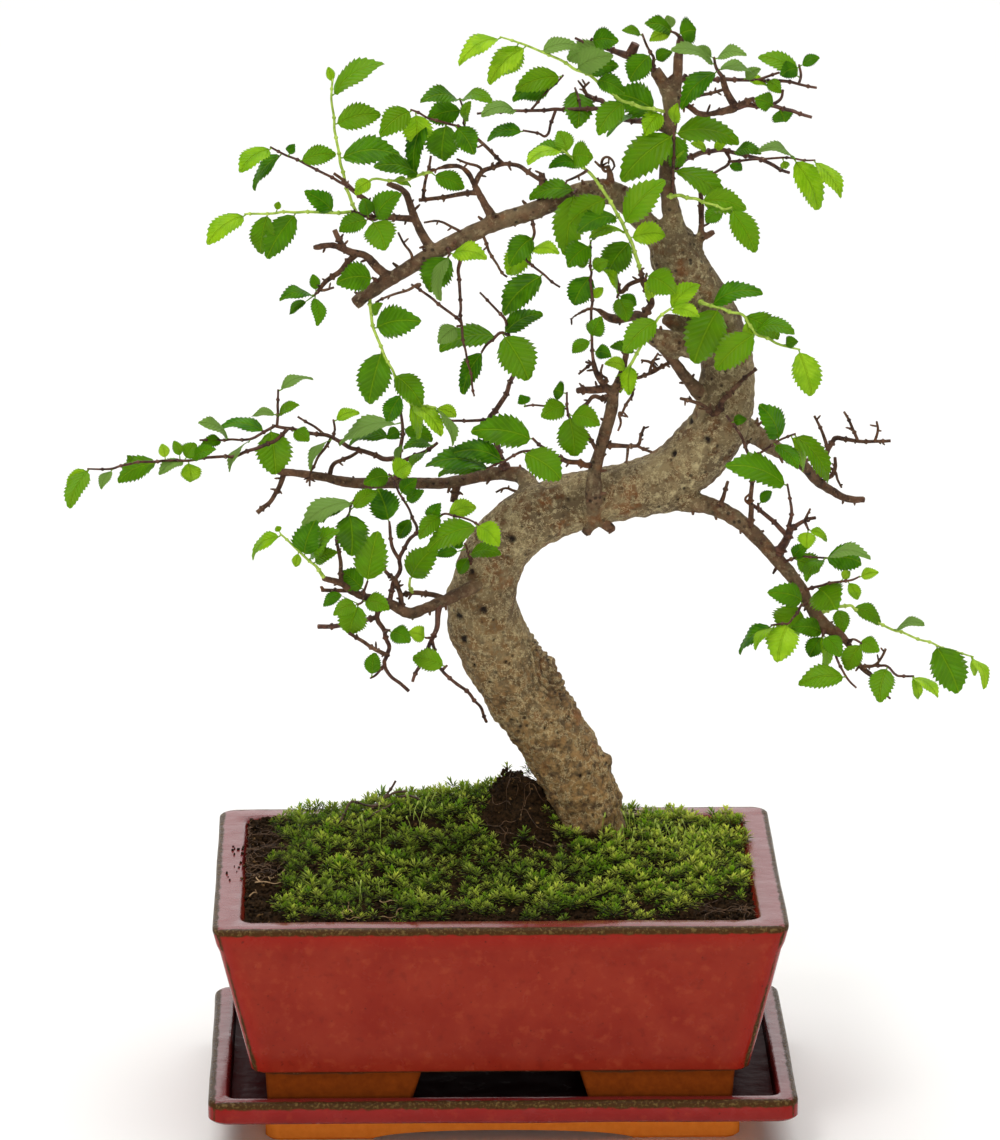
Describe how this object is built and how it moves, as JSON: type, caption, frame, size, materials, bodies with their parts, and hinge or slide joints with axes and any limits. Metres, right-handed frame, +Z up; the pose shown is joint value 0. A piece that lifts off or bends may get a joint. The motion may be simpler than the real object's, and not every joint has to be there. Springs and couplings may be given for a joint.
{
  "type": "chinese elm bonsai in a pot",
  "caption": "Chinese elm bonsai with an S-curved trunk and small toothed leaves, growing in a moss-covered rectangular glazed pot on a matching tray.",
  "frame": {"origin": "centre of the overall bounding box, at the level the tray stands on", "axes": "+Z up, +X to the viewer's right, -Y towards the viewer at the front of the pot"},
  "size_m": [0.3256, 0.1484, 0.3936],
  "materials": {
    "glazed_clay": "fired clay with a brick red satin glaze",
    "soil": "dark bonsai soil, covered with moss",
    "bark": "grey brown bark with rusty patches",
    "leaves": "glossy green leaves on thin brown twigs"
  },
  "bodies": {
    "root": {"tray": "glazed_clay", "pot": "glazed_clay", "soil": "soil", "wood": "bark", "spray_left_upright": "leaves", "spray_left_rising": "leaves", "spray_left_level": "leaves", "spray_left_inner": "leaves", "spray_left_green_twig": "leaves", "spray_upper_left": "leaves", "spray_upper_back": "leaves", "spray_top_left_shoot": "leaves", "spray_top_back_twig": "leaves", "spray_leader_front": "leaves", "spray_right_hanging": "leaves", "spray_right_arm": "leaves", "spray_apex": "leaves", "spray_apex_left": "leaves", "spray_top_right": "leaves", "spray_top_right_back": "leaves", "spray_top_right_low": "leaves", "spray_bright_diagonal": "leaves", "spray_below_upper_branch": "leaves", "spray_centre_upright": "leaves", "spray_shoulder_front": "leaves", "spray_centre_dark": "leaves", "spray_under_arch": "leaves", "spray_left_of_arch": "leaves", "spray_fan": "leaves", "spray_hanging_thread": "leaves", "spray_far_left_dark": "leaves", "spray_round_leaf": "leaves", "spray_long_hanging": "leaves", "spray_long_left": "leaves", "spray_middle": "leaves", "spray_middle_upper": "leaves", "spray_centre_bright": "leaves", "spray_trunk_right": "leaves", "spray_right_middle": "leaves", "spray_right_spur": "leaves", "spray_right_upper": "leaves", "spray_right_outer": "leaves", "spray_right_lower": "leaves", "spray_right_knob": "leaves", "spray_right_side": "leaves", "spray_right_under": "leaves", "spray_far_right": "leaves", "spray_tip_right": "leaves", "spray_left_rising_twigs": "leaves", "spray_trunk_left": "leaves", "spray_lifted_leaf": "leaves", "spray_two_tone": "leaves", "spray_left_low_end": "leaves", "spray_left_arching": "leaves", "spray_hanging_outer": "leaves", "spray_hanging_inner": "leaves"}
  },
  "joints": []
}
